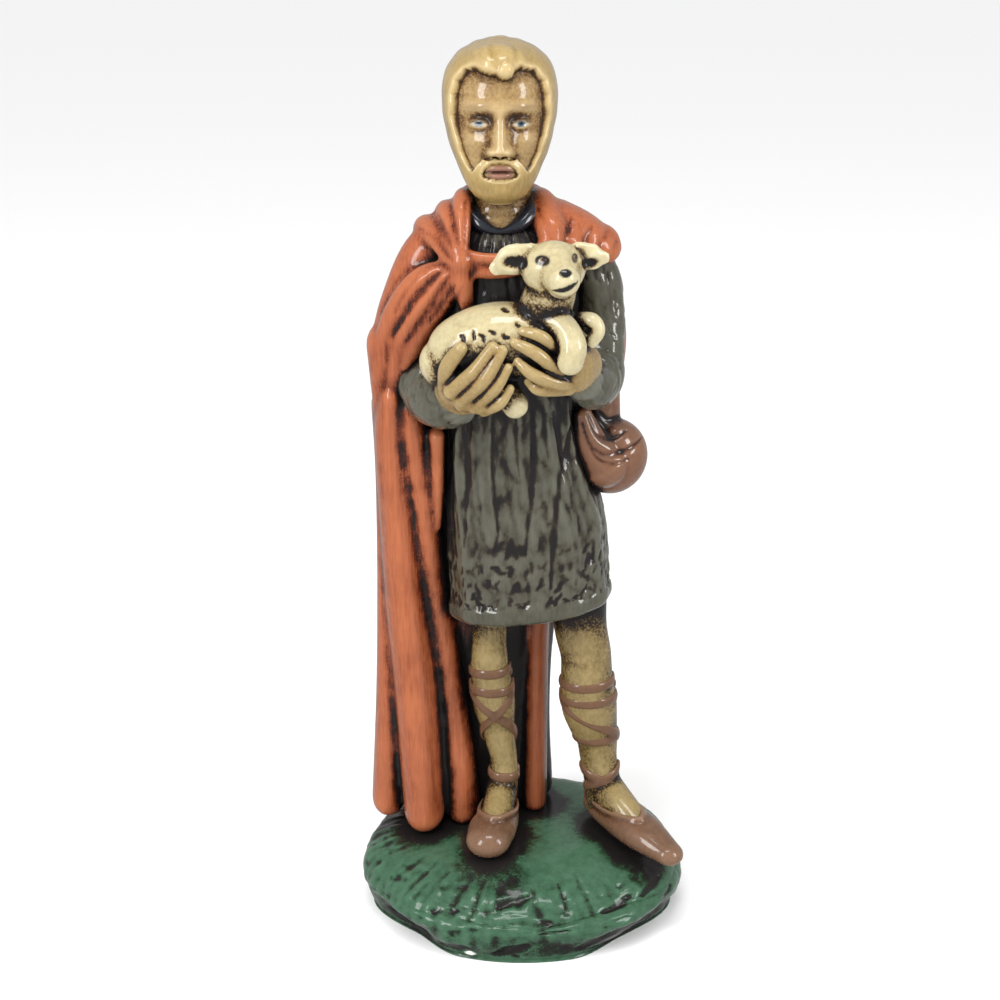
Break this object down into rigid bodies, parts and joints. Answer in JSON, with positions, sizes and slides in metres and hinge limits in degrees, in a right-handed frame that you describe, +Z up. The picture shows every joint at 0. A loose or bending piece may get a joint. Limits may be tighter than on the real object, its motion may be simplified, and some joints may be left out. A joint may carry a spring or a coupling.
{
  "type": "nativity shepherd figurine",
  "caption": "Hand-painted glazed ceramic nativity shepherd in an orange cloak and grey tunic, holding a lamb, on a green mound.",
  "frame": {"origin": "middle of the mound's flat underside", "axes": "+Z up through the head, the shepherd faces -Y"},
  "size_m": [0.1141, 0.0984, 0.3062],
  "materials": {
    "painted_glaze": "hand-painted under a gloss glaze, with dark antiquing in the hollows"
  },
  "bodies": {
    "root": {"shepherd_figurine": "painted_glaze"}
  },
  "joints": []
}
